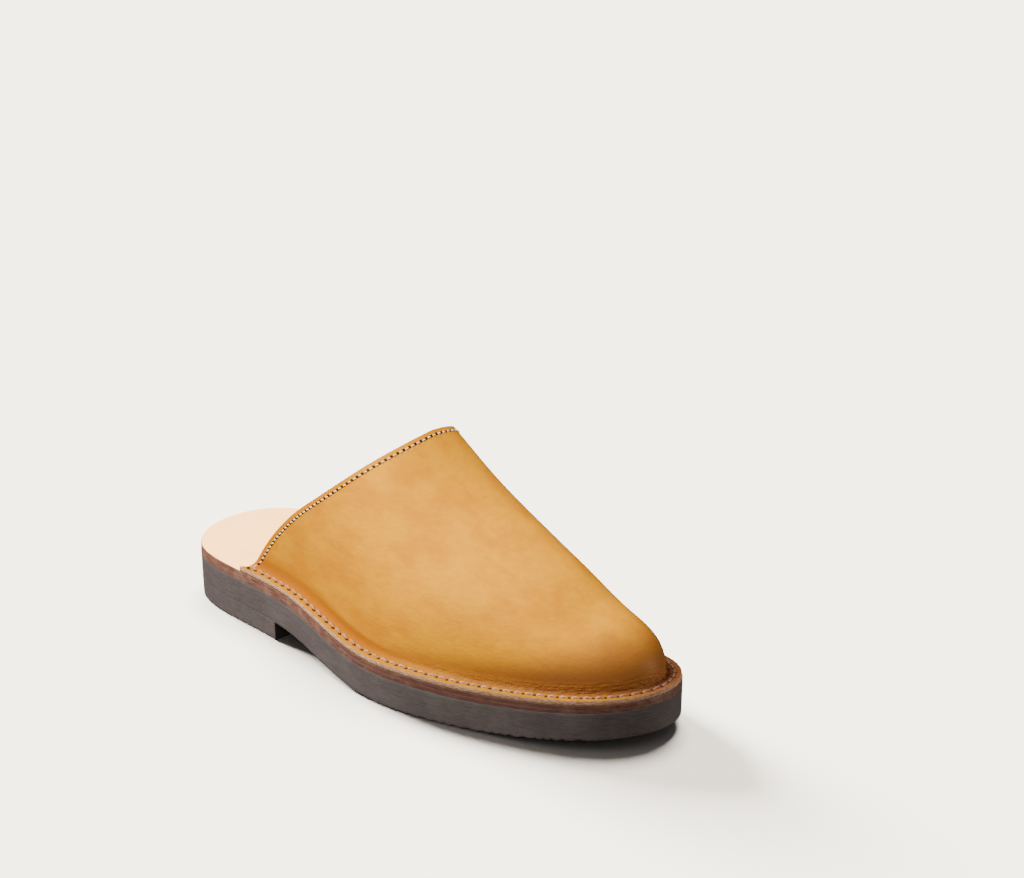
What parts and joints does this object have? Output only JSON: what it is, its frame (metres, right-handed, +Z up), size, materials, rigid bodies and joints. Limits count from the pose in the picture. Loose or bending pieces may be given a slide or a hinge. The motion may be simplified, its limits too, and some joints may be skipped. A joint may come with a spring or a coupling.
{
  "type": "mule slipper",
  "caption": "Backless leather mule slipper for the right foot: one-piece vamp with a stitched-down flange, open heel, leather insole and a brown rubber sole with a low heel.",
  "frame": {"origin": "on the floor, under the middle of the slipper's bounding box", "axes": "+Z up, -Y towards the toe, +Y towards the heel, -X towards the lateral side and +X towards the medial side of a right foot"},
  "size_m": [0.105, 0.29, 0.1159],
  "materials": {
    "upper_leather": "smooth aniline-dyed mustard cowhide with a soft satin polish",
    "insole_leather": "undyed vegetable-tanned leather, matt, with its edge dyed red-brown",
    "midsole_leather": "leather board with a burnished red-brown edge",
    "sole_rubber": "dark brown cellular rubber, matt, with a trimmed edge"
  },
  "bodies": {
    "root": {"upper": "upper_leather", "insole": "insole_leather", "midsole": "midsole_leather", "outsole": "sole_rubber", "heel_block": "sole_rubber"}
  },
  "joints": []
}
